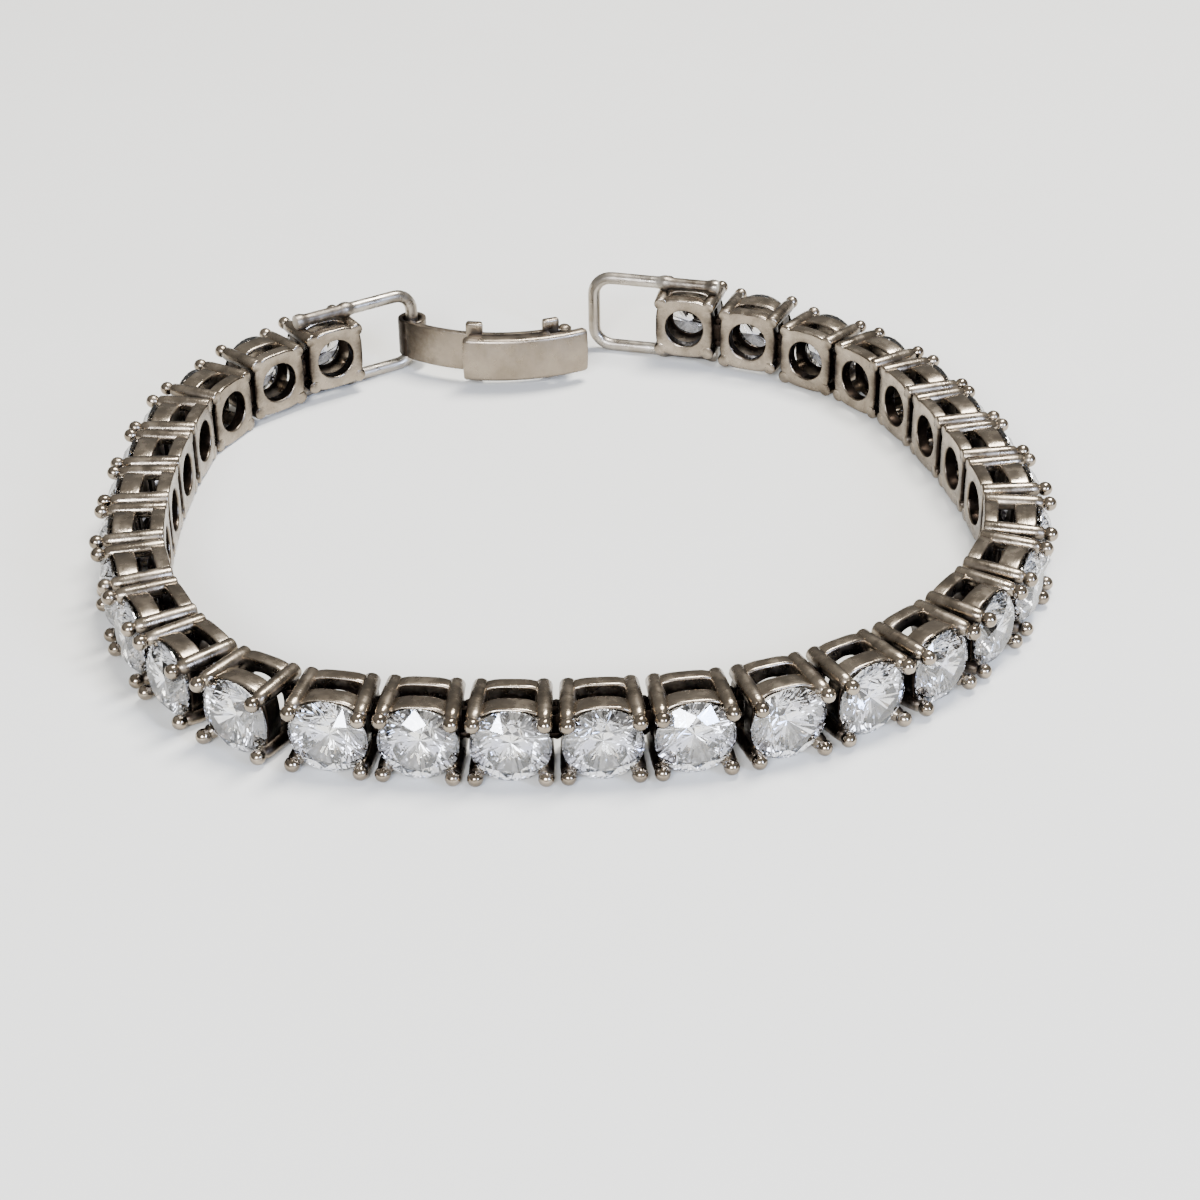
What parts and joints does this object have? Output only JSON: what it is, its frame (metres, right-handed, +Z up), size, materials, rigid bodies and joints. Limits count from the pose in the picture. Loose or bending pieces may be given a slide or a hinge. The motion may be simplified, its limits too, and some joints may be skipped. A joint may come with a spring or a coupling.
{
  "type": "tennis bracelet",
  "caption": "Open tennis bracelet of round clear stones in hinged four-prong settings, with a wire loop on each end and a fold-over clasp hung on one of them, lying on a surface.",
  "frame": {"origin": "middle of the bracelet's box, on the surface that it lies on", "axes": "+Z up through the wrist hole, +Y towards the clasp, +X towards the right end loop's side of the ring"},
  "size_m": [0.0644, 0.0618, 0.0066],
  "materials": {
    "metal": "rhodium-plated silver gone warm grey-brown, darker in the crevices, with bright rubbed posts",
    "stone": "clear round brilliant with polished facets"
  },
  "bodies": {
    "bracelet": {"settings_row_01": "metal", "settings_row_02": "metal", "settings_row_03": "metal", "settings_row_04": "metal", "settings_row_05": "metal", "settings_row_06": "metal", "settings_row_07": "metal", "settings_row_08": "metal", "settings_row_09": "metal", "settings_row_10": "metal", "stone_01": "stone", "stone_02": "stone", "stone_03": "stone", "stone_04": "stone", "stone_05": "stone", "stone_06": "stone", "stone_07": "stone", "stone_08": "stone", "stone_09": "stone", "stone_10": "stone", "stone_11": "stone", "stone_12": "stone", "stone_13": "stone", "stone_14": "stone", "stone_15": "stone", "stone_16": "stone", "stone_17": "stone", "stone_18": "stone", "stone_19": "stone", "stone_20": "stone", "stone_21": "stone", "stone_22": "stone", "stone_23": "stone", "stone_24": "stone", "stone_25": "stone", "stone_26": "stone", "stone_27": "stone", "stone_28": "stone", "stone_29": "stone", "stone_30": "stone", "clasp_base": "metal"},
    "clasp_cover": {"clasp_cover": "metal"}
  },
  "joints": [
    {"name": "cover_hinge", "type": "hinge", "parent": "bracelet", "child": "clasp_cover", "pos_m": [-0.00087, 0.02455, 0.0026], "axis": [0, 0, 1], "range_deg": [0, 120]}
  ]
}
